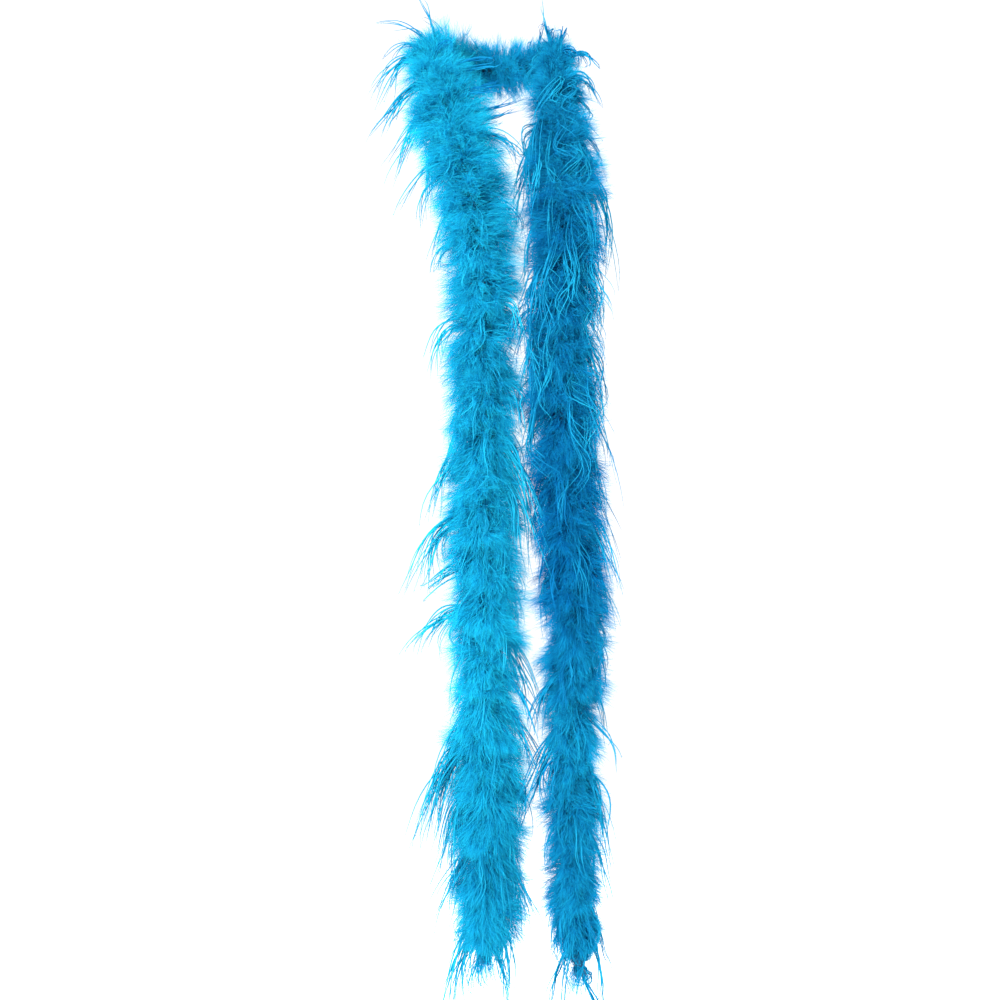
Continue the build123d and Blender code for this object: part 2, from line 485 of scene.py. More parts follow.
def barb_material(name, dye_and_shade_stops, dark, light, roughness, sheen, glow):
    """Dyed feather: its colour runs from root to tip, darker at the root as painted shade, differs from barb
    to barb, and light comes through.
    """
    material, nodes, link = new_material(name)
    place = nodes.new("ShaderNodeUVMap")
    place.uv_map = "OFBake"
    split = nodes.new("ShaderNodeSeparateXYZ")
    link(place.outputs["UV"], split.inputs[0])
    # Along the fibre: darker at the root as painted shade
    along = colour_ramp(nodes, dye_and_shade_stops)
    link(split.outputs["Y"], along.inputs["Fac"])
    # Low tones take the dark colour: random tone, and painted shade on the right tail and in the underdown
    tone = colour_ramp(nodes, [(0.0, dark), (1.0, light)])
    link(split.outputs["X"], tone.inputs["Fac"])
    dyed = multiplied(nodes, link, along.outputs["Color"], tone.outputs["Color"])
    stretched = nodes.new("ShaderNodeMapping")
    stretched.inputs["Scale"].default_value = (90.0, 3.0, 1.0)
    link(place.outputs["UV"], stretched.inputs["Vector"])
    streaks = nodes.new("ShaderNodeTexNoise")
    streaks.inputs["Scale"].default_value = 1.0
    streaks.inputs["Detail"].default_value = 3.0
    link(stretched.outputs["Vector"], streaks.inputs["Vector"])
    patchy = colour_ramp(nodes, [(0.30, (0.88, 0.92, 0.96)), (0.70, (1.0, 1.0, 1.0))])
    link(streaks.outputs["Fac"], patchy.inputs["Fac"])
    uneven = multiplied(nodes, link, dyed, patchy.outputs["Color"])
    surface = nodes.new("ShaderNodeBsdfPrincipled")
    surface.inputs["Roughness"].default_value = roughness
    surface.inputs["Specular IOR Level"].default_value = 0.0
    surface.inputs["Sheen Weight"].default_value = sheen
    surface.inputs["Sheen Tint"].default_value = (0.05, 0.75, 1.0, 1.0)
    through = nodes.new("ShaderNodeBsdfTranslucent")
    mixed = nodes.new("ShaderNodeMixShader")
    mixed.inputs["Fac"].default_value = glow
    output = nodes.new("ShaderNodeOutputMaterial")
    link(uneven, surface.inputs["Base Color"])
    link(uneven, through.inputs["Color"])
    link(surface.outputs[0], mixed.inputs[1])
    link(through.outputs[0], mixed.inputs[2])
    link(mixed.outputs[0], output.inputs["Surface"])
    return material


def yarn_material(name, dark, light, fibre_scale, roughness):
    """Dyed cotton: fine fibres in the colour and in the relief."""
    material, nodes, link = new_material(name)
    place = nodes.new("ShaderNodeTexCoord")
    fibres = nodes.new("ShaderNodeTexNoise")
    fibres.inputs["Scale"].default_value = fibre_scale
    fibres.inputs["Detail"].default_value = 6.0
    fibres.inputs["Roughness"].default_value = 0.7
    link(place.outputs["Object"], fibres.inputs["Vector"])
    colour = colour_ramp(nodes, [(0.3, dark), (0.7, light)])
    link(fibres.outputs["Fac"], colour.inputs["Fac"])
    relief = nodes.new("ShaderNodeBump")
    relief.inputs["Strength"].default_value = 0.5
    relief.inputs["Distance"].default_value = 0.0003
    link(fibres.outputs["Fac"], relief.inputs["Height"])
    surface = nodes.new("ShaderNodeBsdfPrincipled")
    surface.inputs["Roughness"].default_value = roughness
    surface.inputs["Sheen Weight"].default_value = 0.3
    link(colour.outputs["Color"], surface.inputs["Base Color"])
    link(relief.outputs["Normal"], surface.inputs["Normal"])
    output = nodes.new("ShaderNodeOutputMaterial")
    link(surface.outputs[0], output.inputs["Surface"])
    return material


# Colours from root to tip; the darker roots are painted shade, for the shade deep in the down by the cord
down_dye_and_painted_shade = [
    (0.00, (0.004, 0.270, 0.490)),
    (0.35, (0.008, 0.480, 0.730)),
    (0.75, (0.018, 0.660, 0.870)),
    (1.00, (0.034, 0.740, 0.910)),
]
plume_dye_and_painted_shade = [
    (0.00, (0.004, 0.260, 0.480)),
    (0.30, (0.010, 0.480, 0.740)),
    (0.80, (0.022, 0.620, 0.860)),
    (1.00, (0.012, 0.460, 0.740)),
]
darkest = (0.25, 0.38, 0.62)
down_material = barb_material(
    "dyed_marabou", down_dye_and_painted_shade, darkest, light=(1.2, 1.08, 1.02), roughness=0.75, sheen=0.20, glow=0.44
)
plume_material = barb_material(
    "dyed_ostrich", plume_dye_and_painted_shade, darkest, light=(1.3, 1.10, 1.00), roughness=0.6, sheen=0.15, glow=0.32
)
cord_material = yarn_material(
    "cotton_cord", (0.003, 0.070, 0.150), (0.008, 0.180, 0.330), fibre_scale=900.0, roughness=0.85
)
thread_material = yarn_material(
    "winding_thread", (0.002, 0.030, 0.080), (0.004, 0.080, 0.170), fibre_scale=2200.0, roughness=0.6
)


# ------------------------ cord, thread and ends


def helix_tube(start, finish, offset, pitch, phase, radius, sides, steps_per_turn):
    """A round yarn that winds about the cord between two signed distances, and its centre points."""
    steps = max(int(abs(finish - start) / pitch * steps_per_turn), 8)
    at = np.linspace(start, finish, steps)
    places, _, away, outer = cord_frame(at)
    angle = (at / pitch * 2.0 * pi + phase)[:, None]
    radial = away * np.cos(angle) + outer * np.sin(angle)
    centres = places + radial * offset
    forward = unit(np.gradient(centres, axis=0))
    across = unit(radial - forward * (radial * forward).sum(-1, keepdims=True))
    other = np.cross(forward, across)
    corners = yarn_corners(centres, across, other, radius, sides)
    here = np.arange(sides)[None, :]
    step = (np.arange(steps - 1) * sides)[:, None]
    quads = ring_faces(here, (here + 1) % sides, step, step + sides)
    faces = [quads.reshape(-1, 4), here[:, ::-1], (steps - 1) * sides + here]
    shade = np.stack([np.broadcast_to(here / sides, (steps, sides)), np.zeros((steps, sides))], axis=-1)
    return corners, faces, shade.reshape(-1, 2)


def cord_points(start, finish):
    """The spline's own line between two signed distances."""
    inner = line[(line_lengths > start) & (line_lengths < finish)]
    return np.concatenate([cord_frame(np.array([start]))[0], inner, cord_frame(np.array([finish]))[0]])


def make_rope(name, start, finish, nodes):
    """A stretch of the twisted cord."""
    touching = yarn_radius * 2.0 / 3.0**0.5
    strands = [
        helix_tube(start, finish, touching, yarn_lay, turn, yarn_radius, sides=9, steps_per_turn=16)
        for turn in (2.0 * pi * yarn / yarns for yarn in range(yarns))
    ]
    piece = make_piece(name, strands, cord_material)
    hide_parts(*nodes)
    points = cord_points(min(start, finish), max(start, finish))
    if abs(start) > abs(finish):
        start, finish = finish, start
    if np.linalg.norm(points[0] - cord_frame(np.array([start]))[0]) > 1e-6:
        points = points[::-1]
    return piece


def make_winding(name, start, finish, nodes):
    """The thread wound over the quills."""
    turns = helix_tube(
        start, finish, winding_radius, winding_pitch, 0.0, thread_radius, sides=4, steps_per_turn=9
    )
    piece = make_piece(name, [turns], thread_material)
    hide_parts(*nodes)
    return piece


def make_whipping(side):
    """The tight thread wrap above the end knot."""
    finish = cord_ends[side] - outward[side] * knot_radius
    start = finish - outward[side] * whipping_length
    turns = [
        helix_tube(
            start, finish, whipping_radius, whipping_pitch, phase, whipping_thread, sides=6, steps_per_turn=22
        )
        for phase in (0.0, pi)
    ]
    piece = make_piece(f"whipping_{side}_thread", turns, thread_material)
    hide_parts(f"whipping_{side}")
    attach(piece, f"{side}_lower")
    return piece


def make_knot(side):
    """An overhand knot at the end of the cord, as a closed trefoil of the cord."""
    centre, along, away, outer = (v[0] for v in cord_frame(np.array([cord_ends[side]])))
    turn = (np.arange(knot_steps) / knot_steps * 2.0 * pi)[:, None]
    trefoil = (
        (np.sin(turn) + 2.0 * np.sin(2.0 * turn)) * away
        + (np.cos(turn) - 2.0 * np.cos(2.0 * turn)) * outer
        - knot_height * np.sin(3.0 * turn) * along
    )
    centres = centre + (knot_radius - knot_strand) / 3.0 * trefoil
    forward = unit(np.roll(centres, -1, axis=0) - np.roll(centres, 1, axis=0))
    across = unit(np.cross(forward, centres - centre + 1e-6))
    corners = yarn_corners(centres, across, np.cross(forward, across), knot_strand, knot_sides)
    here = np.arange(knot_sides)[None, :]
    step = np.arange(knot_steps)[:, None]
    after = (step + 1) % knot_steps
    quads = ring_faces(here, (here + 1) % knot_sides, step * knot_sides, after * knot_sides)
    strand = (corners, [quads.reshape(-1, 4)], np.zeros((len(corners), 2)))
    piece = make_piece(f"knot_{side}_cord", [strand], cord_material)
    for face in piece.data.polygons:
        face.use_smooth = True
    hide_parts(f"knot_{side}")
    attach(piece, f"{side}_lower")
    return piece


# ------------------------ down


def envelope(side, distance):
    """How full the down is here, as a share of its usual reach."""
    height = cord_frame(outward[side] * distance)[0][:, 2]
    full = read_table(fullness[side], height)
    full = nape_fullness + (full - nape_fullness) * np.clip(distance / nape_half, 0.0, 1.0)
    for dip_height, depth, half in waists[side]:
        full -= depth * np.exp(-(((height - dip_height) / half) ** 2))
    left = abs(cord_ends[side]) - end_stem - distance
    return full * np.clip(thinnest_end + (1.0 - thinnest_end) * left / end_taper, thinnest_end, 1.0)


def soft_field(distance, turn, random):
    """A smooth random value around zero over a tail's surface, which gathers feathers into tufts."""
    value = np.zeros_like(distance)
    for around in field_turns:
        along = random.uniform(*field_rates) * random.choice((-1.0, 1.0))
        value += np.cos(2.0 * pi * along * distance + around * turn + random.uniform(0.0, 2.0 * pi))
    return value / (len(field_turns) / 2.0) ** 0.5


def cut_back(points, roots):
    """Shortens the fibres that would end too far from their roots on the cord."""
    first = points[:, :1]
    spare = longest_down - np.linalg.norm(first[:, 0] - roots, axis=-1)
    own = np.linalg.norm(points[:, -1] - first[:, 0], axis=-1)
    return first + (points - first) * np.clip(spare / own, 0.0, 1.0)[:, None, None]


def feather_roots(side, start, finish, count, lean, random):
    """Where feathers leave the cord, and which way: roots, the axes out and along, the way they fall,
    how far out they reach and their tone."""
    fields = np.random.default_rng(seeds["fields"] + int(outward[side]))
    distance = random.uniform(start, finish, count)
    angle = random.uniform(0.0, 2.0 * pi, count)
    turn = angle[:, None]
    places, along, away, outer = cord_frame(outward[side] * distance)
    along = along * outward[side]
    radial = away * np.cos(turn) + outer * np.sin(turn)
    full, swept, slant = (soft_field(distance, angle, fields) for _ in range(3))
    lay = (read_table(down_lay, distance) * (1.0 + tuft_slant * slant))[:, None]
    across = np.cross(along, radial) * (random.normal(0.0, lean, count) + tuft_sweep * swept)[:, None]
    fall = radial + along * lay + across + random.normal(0.0, stray, (count, 3))
    stretch = np.linalg.norm(fall, axis=1) / np.maximum((fall * radial).sum(-1), 0.5)
    stretch = np.clip(stretch, 1.0, widest_fall)
    reach = down_reach[side] * envelope(side, distance) * stretch * (1.0 + tuft_size * full)
    # Tone by height; the right tail's lower tones are painted shade
    tone = read_table(down_tone_with_painted_shade[side], places[:, 2])
    tone = nape_tone + (tone - nape_tone) * np.clip(distance / nape_blend, 0.0, 1.0)
    return places + radial * winding_radius, radial, along * lay, unit(fall), reach, tone


def underdown(side, start, finish, random):
    """Short broad fluff close to the cord, which fills the depth between the feathers and is painted darker
    there as shade.
    """
    count = int((finish - start) * underdown_per_metre)
    roots, radial, _, fall, reach, tone = feather_roots(side, start, finish, count, underdown_lean, random)
    lengths = reach * random.uniform(*underdown_lengths, count)
    fibres = keep_off_neck(cut_back(grow(roots, radial, fall, lengths, barb_steps), roots))
    widths = underdown_width * random.uniform(0.6, 1.2, (count, 1)) * np.array([underdown_shape])
    facing = unit(radial + tumble * random.normal(0.0, 1.0, (count, 3)))
    # Painted shade: the underdown's tone is lowered
    tones = random.normal(tone - underdown_painted_shade, underdown_tones, count)
    return [ribbons(fibres, widths, tones, facing)]


def small_feathers(side, start, finish, random):
    """Small feathers: a thin quill each, with soft barbs along it."""
    count = int((finish - start) * feathers_per_metre)
    roots, radial, slant, fall, reach, tone = feather_roots(side, start, finish, count, feather_lean, random)
    reach *= np.clip(random.normal(feather_size, feather_sizes, count), 0.6, 1.3)
    quills = grow(roots, radial + quill_slant * slant, fall, quill_length * reach, quill_steps)
    quills = keep_off_neck(quills)
    tones = random.normal(tone, feather_tones, count)
    thin_quills = np.linspace(*quill_widths, quill_steps)[None] * barb_width * np.ones((count, 1))

    owner = np.repeat(np.arange(count), barbs_per_feather)
    total = len(owner)
    where = random.uniform(0.0, 1.0, total) ** barb_crowding * (quill_steps - short_of_tip)
    on_quill, forward, _ = along_fibres(quills, owner, where)
    vane = unit(np.cross(forward, any_way(count, random)[owner]))
    spread = random.uniform(-1.0, 1.0, (total, 1))
    own = random.normal(0.0, barb_stray, (total, 3))
    curl = random.normal(0.0, feather_curl, (count, 3))[owner]
    starts = unit(forward + vane * spread * barb_spread[0] + own)
    ends = unit(fall[owner] + slant[owner] * 0.25 + curl + vane * spread * barb_spread[1] + own)
    shares = barb_length - barb_shortening * where / quill_steps
    lengths = reach[owner] * shares * random.uniform(0.50, 1.25, total)
    barbs = grow(on_quill, starts, ends, lengths, barb_steps)
    barbs = keep_off_neck(cut_back(barbs, roots[owner]))
    thin_barbs = barb_width * np.linspace(*barb_widths, barb_steps)[None]
    thin_barbs = thin_barbs * random.uniform(0.7, 1.2, (total, 1))
    facing = unit(radial[owner] + tumble * random.normal(0.0, 1.0, (total, 3)))
    return [
        ribbons(quills, thin_quills, tones, radial),
        ribbons(barbs, thin_barbs, tones[owner] + random.normal(0.0, barb_tones, total), facing),
    ]


def make_down(name, side, start, finish, seed, nodes):
    """Down bound round the cord, in two coats that are a piece each."""
    random = np.random.default_rng(seed)
    coats = {
        "inner": underdown(side, start, finish, random) + small_feathers(side, start, finish, random),
        "outer": small_feathers(side, start, finish, random),
    }
    pieces = []
    for coat, parts in coats.items():
        piece = make_piece(f"{name}_{coat}", parts, down_material)
        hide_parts(*nodes)
        pieces.append(piece)
    return pieces


# ------------------------ plumes


def plume_parts(points, tone, width, random):
    """Ostrich strands along these points: a tapering strand with a fine fringe of barbules on both sides."""
    count, steps = points.shape[:2]
    keep_off_neck(points)
    taper = 1.0 - plume_taper * np.linspace(0.0, 1.0, steps)[None] ** 3
    radii = taper * width / 2.0 * random.uniform(0.7, 1.2, (count, 1))
    facing = any_way(count, random)
    strands = tubes(points, radii, tone, plume_sides, facing)

    side, _ = cross_axes(points, facing)
    owner = np.repeat(np.arange(count), barbules_per_plume)
    total = len(owner)
    where = random.uniform(0.04, 0.999, total) * (steps - 1)
    roots, forward, step = along_fibres(points, owner, where)
    sign = random.choice((-1.0, 1.0), (total, 1))
    aim = forward * barbule_lean + side[owner, step] * sign + random.normal(0.0, barbule_stray, (total, 3))
    aim = unit(aim)
    lengths = barbule_length * random.uniform(0.5, 1.2, total) * (1.0 - 0.4 * where / steps)
    half = (lengths / 2.0)[:, None]
    fringe = np.stack([roots, roots + aim * half, roots + (aim + 0.5 * forward) * half * 1.4], axis=1)
    widths = np.full((total, 2), barbule_width)
    tones = tone[owner] + random.normal(0.0, barbule_tones, total)
    return [strands, ribbons(keep_off_neck(fringe), widths, tones, any_way(total, random))]


def wave(points, size, cycles, random):
    """Sideways waves that grow towards the tips."""
    count, steps = points.shape[:2]
    share = np.linspace(0.0, 1.0, steps)[None, :]
    for axis in cross_axes(points, any_way(count, random)):
        phase = random.uniform(0.0, 2.0 * pi, (count, 1))
        turns = cycles * random.uniform(0.6, 1.3, (count, 1))
        height = size * random.uniform(0.2, 1.2, (count, 1)) * share
        points = points + axis * (height * sway(share, turns, phase))[..., None]
    return points


def lying_plumes(side, start, finish, locks, each, length, reach, flick, swing, tone, random):
    """Locks of strands that leave the cord, rise through the down and lie along it, with flicked tips."""
    owner = np.repeat(np.arange(locks), each)
    total = len(owner)

    def varied(low, high, spread):
        """A value for each lock, a little different in each of its strands."""
        return (random.uniform(low, high, locks)[owner] + random.normal(0.0, spread, total))[:, None]

    share = np.linspace(0.0, 1.0, plume_steps + 1)[None]
    at = varied(start, finish, 0.004) + length * varied(0.65, 1.2, 0.08) * share
    places, _, away, outer = cord_frame(outward[side] * at)
    drift = varied(-0.6, 0.6, 0.05) * share
    phase, turns = varied(0.0, 2.0 * pi, 0.20), varied(0.9, 2.1, 0.04)
    waving = swing * share * varied(0.3, 1.2, 0.15) * sway(share, turns, phase)
    out = reach * varied(0.72, 1.12, 0.05)
    out = winding_radius + (out - winding_radius) * (1.0 - (1.0 - share) ** 2.4)
    out = np.maximum(out + flick * varied(-0.2, 1.2, 0.2) * share**3 + 0.5 * waving, winding_radius)
    angle = varied(0.0, 2.0 * pi, 0.07) + drift + waving / reach
    points = places + (away * np.cos(angle)[..., None] + outer * np.sin(angle)[..., None]) * out[..., None]
    tones = np.clip(varied(tone - lying_tones, tone + lying_tones, 0.05)[:, 0], 0.02, 0.98)
    return plume_parts(points, tones, lying_width, random)


def bunch(side, distance, tip, bow, count, spread, hook, tone, random):
    """Locks of strands from one place on the cord towards one tip: tip and bow are offsets from the root."""
    locks = max(count // strands_per_lock, 1)
    owner = np.arange(count) % locks

    def varied(size):
        """A random offset for each lock, a little different in each of its strands."""
        of_lock = np.clip(random.normal(0.0, 1.0, (locks, 3)), -1.5, 1.5)[owner]
        return size * (of_lock + lock_looseness * np.clip(random.normal(0.0, 1.0, (count, 3)), -2.0, 2.0))

    at = distance + random.normal(0.0, lock_gap, locks)[owner] + random.normal(0.0, strand_gap, count)
    places = cord_frame(outward[side] * at)[0]
    share = np.linspace(0.0, 1.0, plume_steps + 1)[None, :, None]
    size = np.linalg.norm(tip)
    tips = np.array(tip) * random.uniform(0.72, 1.08, (count, 1)) + varied(spread * size)
    bows = np.array(bow) * random.uniform(0.85, 1.15, (count, 1)) + varied(0.5 * spread * size)
    points = places[:, None] + bows[:, None] * 2.0 * share * (1.0 - share) + tips[:, None] * share**2
    curl = unit(np.cross(tips, varied(1.0))) * hook * size * random.uniform(0.2, 1.0, (count, 1))
    late = np.clip((share - 0.72) / 0.28, 0.0, 1.0)
    points = points + curl[:, None] * late**2 - tips[:, None] * hook * 0.8 * late**3
    points = wave(points, bunch_wave * size, bunch_turns, random)
    tones = np.clip(random.normal(tone, plume_tones, count), 0.05, 0.95)
    return plume_parts(points, tones, bunch_width, random)


# ------------------------ where everything is

# Heights at which the pieces of a tail are cut, and for each hinge its two bodies and the heights it spans
cuts = {"collar": -0.055, "chest": -0.345, "waist": -0.545, "hip": -0.865}
bends = {
    "chest": ("neck", "link", -0.2665, -0.3425),
    "waist": ("link", "upper", -0.3480, -0.4220),
    "hip": ("upper", "lower", -0.6250, -0.7850),
}

# Loose strands all round, on stretches between two heights: locks, strands in each, length, reach,
# flick of the tips, wave and tone. The right tail's lower tones are painted shade
loose = {
    "left": [
        (0.00, -0.10, 16, 3, 0.048, 0.033, 0.008, 0.003, 0.6),
        (-0.10, -0.36, 32, 3, 0.050, 0.037, 0.008, 0.006, 0.62),
        (-0.36, -0.70, 52, 3, 0.080, 0.038, 0.009, 0.006, 0.65),
        (-0.70, -1.00, 60, 3, 0.080, 0.036, 0.011, 0.005, 0.68),
    ],
    "right": [
        (0.00, -0.06, 16, 3, 0.046, 0.032, 0.008, 0.003, 0.3),
        (-0.03, -0.40, 132, 5, 0.115, 0.040, 0.005, 0.017, 0.46),
        (-0.40, -0.70, 60, 4, 0.085, 0.037, 0.006, 0.006, 0.22),
        (-0.70, -1.00, 52, 4, 0.080, 0.030, 0.008, 0.005, 0.38),
    ],
}

# Strands that stand out together: distance from the nape, tip and bow as offsets from the root,
# count, spread, hook and tone. The lower tones on the right tail, and on the left tail's upper strands that
# point to the right, are painted shade
bunches = {
    "left": [
        (0.115, (-0.062, -0.01, 0.039), (-0.02, -0.01, 0.045), 4, 0.05, 0.0, 0.3),
        (0.1, (-0.022, -0.01, 0.06), (0.0, -0.01, 0.035), 5, 0.12, 0.0, 0.4),
        (0.12, (-0.07, -0.01, -0.003), (-0.035, -0.02, 0.03), 4, 0.06, 0.0, 0.3),
        (0.125, (-0.076, -0.01, -0.03), (-0.045, -0.015, 0.025), 7, 0.06, 0.0, 0.4),
        (0.13, (-0.062, -0.015, -0.05), (-0.045, -0.015, 0.02), 9, 0.06, 0.0, 0.5),
        (0.16, (-0.068, -0.01, -0.065), (-0.04, -0.02, -0.01), 15, 0.06, 0.0, 0.5),
        (0.19, (-0.062, -0.01, -0.095), (-0.035, -0.02, -0.02), 18, 0.06, 0.0, 0.6),
        (0.215, (-0.036, -0.02, -0.11), (-0.03, -0.02, -0.03), 16, 0.08, 0.0, 0.7),
        (0.14, (0.028, -0.035, 0.03), (0.0, -0.03, 0.02), 10, 0.14, 0.5, 0.1),
        (0.165, (0.07, -0.04, 0.008), (0.03, -0.04, 0.03), 9, 0.1, 0.35, 0.2),
        (0.2, (0.074, -0.03, 0.0), (0.03, -0.03, 0.012), 9, 0.1, 0.1, 0.1),
        (0.215, (0.082, -0.03, 0.002), (0.03, -0.03, -0.02), 13, 0.07, 0.0, 0.1),
        (0.25, (0.078, -0.03, -0.035), (0.045, -0.03, 0.015), 13, 0.1, 0.0, 0.5),
        (0.29, (-0.064, -0.01, -0.068), (-0.045, -0.012, -0.005), 10, 0.08, 0.0, 0.5),
        (0.345, (-0.05, -0.01, -0.05), (-0.035, -0.012, 0.005), 7, 0.1, 0.0, 0.6),
        (0.4, (-0.052, -0.01, -0.036), (-0.04, -0.012, 0.01), 7, 0.1, 0.0, 0.6),
        (0.33, (0.058, -0.02, -0.05), (0.045, -0.02, 0.01), 10, 0.1, 0.2, 0.2),
        (0.46, (0.05, -0.03, -0.05), (0.045, -0.034, 0.02), 6, 0.1, 0.0, 0.8),
        (0.486, (-0.06, -0.01, -0.045), (-0.05, -0.01, 0.02), 13, 0.07, 0.0, 0.8),
        (0.54, (0.052, -0.026, -0.06), (0.045, -0.026, 0.0), 9, 0.1, 0.0, 0.6),
        (0.6, (-0.062, -0.01, -0.1), (-0.045, -0.015, -0.01), 16, 0.08, 0.0, 0.7),
        (0.6, (0.064, -0.022, -0.12), (0.04, -0.032, -0.01), 20, 0.1, 0.0, 0.7),
        (0.64, (0.056, -0.022, -0.12), (0.04, -0.032, -0.01), 16, 0.12, 0.0, 0.7),
        (0.68, (0.04, -0.022, -0.13), (0.035, -0.032, -0.02), 14, 0.12, 0.0, 0.6),
        (0.69, (-0.078, -0.01, -0.078), (-0.06, -0.015, 0.005), 24, 0.07, 0.0, 0.8),
        (0.75, (-0.066, -0.01, -0.04), (-0.05, -0.01, 0.015), 12, 0.1, 0.3, 0.8),
        (0.805, (-0.078, -0.01, -0.04), (-0.05, -0.01, 0.015), 18, 0.1, 0.0, 0.8),
        (0.81, (0.062, -0.01, -0.09), (0.035, -0.01, -0.01), 14, 0.1, 0.0, 0.5),
        (0.89, (0.062, -0.01, -0.09), (0.035, -0.01, -0.01), 18, 0.1, 0.0, 0.4),
        (0.91, (-0.05, -0.01, -0.1), (-0.04, -0.015, 0.0), 24, 0.09, 0.0, 0.6),
        (0.94, (-0.066, -0.01, -0.11), (-0.048, -0.015, 0.005), 44, 0.09, 0.0, 0.6),
        (0.98, (-0.052, -0.01, -0.11), (-0.04, -0.015, 0.0), 26, 0.09, 0.0, 0.6),
        (0.85, (0.04, -0.015, -0.08), (0.052, -0.015, -0.01), 6, 0.16, 0.0, 0.4),
        (0.96, (0.044, -0.015, -0.08), (0.05, -0.015, -0.01), 8, 0.16, 0.0, 0.4),
        (1.03, (0.054, -0.01, -0.12), (0.03, -0.015, -0.03), 26, 0.08, 0.0, 0.4),
        (1.04, (-0.046, -0.01, -0.11), (-0.025, -0.01, -0.02), 20, 0.12, 0.0, 0.5),
        (1.13, (-0.044, -0.005, -0.105), (-0.028, -0.01, -0.015), 20, 0.12, 0.0, 0.6),
        (1.13, (0.022, 0.0, -0.095), (0.02, -0.01, -0.03), 10, 0.16, 0.2, 0.5),
        (1.15, (-0.01, -0.005, -0.085), (-0.02, -0.01, -0.02), 8, 0.2, 0.3, 0.6),
    ],
    "right": [
        (0.1, (-0.012, -0.02, 0.048), (-0.01, -0.01, 0.03), 9, 0.14, 0.4, 0.0),
        (0.105, (0.015, -0.01, 0.042), (0.01, -0.01, 0.025), 8, 0.12, 0.4, 0.1),
        (0.105, (-0.015, -0.01, 0.06), (-0.01, 0.0, 0.03), 2, 0.05, 0.0, 0.4),
        (0.13, (0.058, -0.01, -0.02), (0.04, -0.01, 0.02), 7, 0.08, 0.2, 0.3),
        (0.13, (0.028, -0.03, -0.005), (0.01, -0.03, 0.02), 9, 0.12, 0.5, 0.0),
        (0.165, (0.052, -0.01, -0.03), (0.035, -0.015, 0.01), 9, 0.08, 0.0, 0.3),
        (0.21, (-0.05, -0.03, -0.17), (-0.045, -0.03, -0.05), 20, 0.08, 0.0, 0.5),
        (0.27, (0.036, -0.02, -0.15), (0.06, -0.02, -0.05), 10, 0.08, 0.0, 0.6),
        (0.4, (-0.052, -0.02, -0.11), (-0.045, -0.02, -0.01), 14, 0.1, 0.0, 0.2),
        (0.45, (-0.052, -0.01, -0.08), (-0.045, -0.01, 0.0), 14, 0.1, 0.0, 0.2),
        (0.505, (0.048, -0.01, -0.1), (0.025, -0.01, -0.02), 9, 0.08, 0.0, 0.3),
        (0.526, (0.056, -0.01, -0.16), (0.03, -0.01, -0.03), 13, 0.07, 0.0, 0.3),
        (0.575, (0.048, -0.01, -0.15), (0.025, -0.01, -0.03), 16, 0.07, 0.0, 0.3),
        (0.666, (0.05, -0.01, -0.11), (0.03, -0.01, -0.02), 18, 0.08, 0.0, 0.4),
        (0.72, (0.046, -0.01, -0.09), (0.03, -0.01, -0.02), 12, 0.1, 0.0, 0.4),
        (0.815, (0.034, -0.01, -0.08), (0.025, -0.01, -0.01), 12, 0.1, 0.0, 0.4),
        (0.855, (-0.052, -0.01, -0.08), (-0.03, -0.01, -0.01), 16, 0.1, 0.0, 0.3),
        (0.915, (-0.056, -0.01, -0.11), (-0.03, -0.01, -0.02), 18, 0.08, 0.0, 0.3),
        (0.945, (0.038, -0.01, -0.135), (0.035, -0.01, -0.02), 11, 0.08, 0.0, 0.4),
        (0.9, (0.024, -0.01, -0.095), (0.058, -0.01, -0.015), 4, 0.16, 0.0, 0.5),
        (0.96, (0.028, -0.01, -0.11), (0.054, -0.01, -0.02), 4, 0.16, 0.0, 0.4),
        (0.76, (-0.022, -0.015, -0.08), (-0.05, -0.015, -0.01), 5, 0.16, 0.0, 0.3),
        (0.96, (-0.03, -0.015, -0.08), (-0.048, -0.015, -0.01), 5, 0.16, 0.0, 0.3),
        (1.02, (0.03, -0.01, -0.11), (0.036, -0.01, -0.02), 8, 0.1, 0.0, 0.4),
        (1.125, (-0.022, -0.005, -0.1), (-0.026, -0.01, -0.03), 12, 0.14, 0.1, 0.3),
        (1.135, (0.028, -0.005, -0.095), (0.026, -0.01, -0.03), 10, 0.14, 0.1, 0.4),
        (1.188, (0.002, 0.0, -0.048), (0.006, 0.0, -0.016), 14, 0.4, 0.4, 0.3),
    ],
}


def ride_or_bend(piece, side, place):
    """A tail's piece at a hinge gets its place baked into its mesh; any other rides on the one body it is on.
    """
    if place in bends:
        first, second, high, low = bends[place]
        first = first if first == "neck" else f"{side}_{first}"
        x, y = cord_frame(outward[side] * np.array([distance_at_height(side, (high + low) / 2.0)]))[0][0, :2]
        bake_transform(piece)
    else:
        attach(piece, {"collar": "neck", "hem": f"{side}_lower"}[place])


def stretches(side):
    """The pieces of a tail as {name: (start, finish)}, in distances from the nape."""
    edges = [nape_half, *(distance_at_height(side, height) for height in cuts.values()), abs(cord_ends[side])]
    return dict(zip([*cuts, "hem"], zip(edges, edges[1:])))


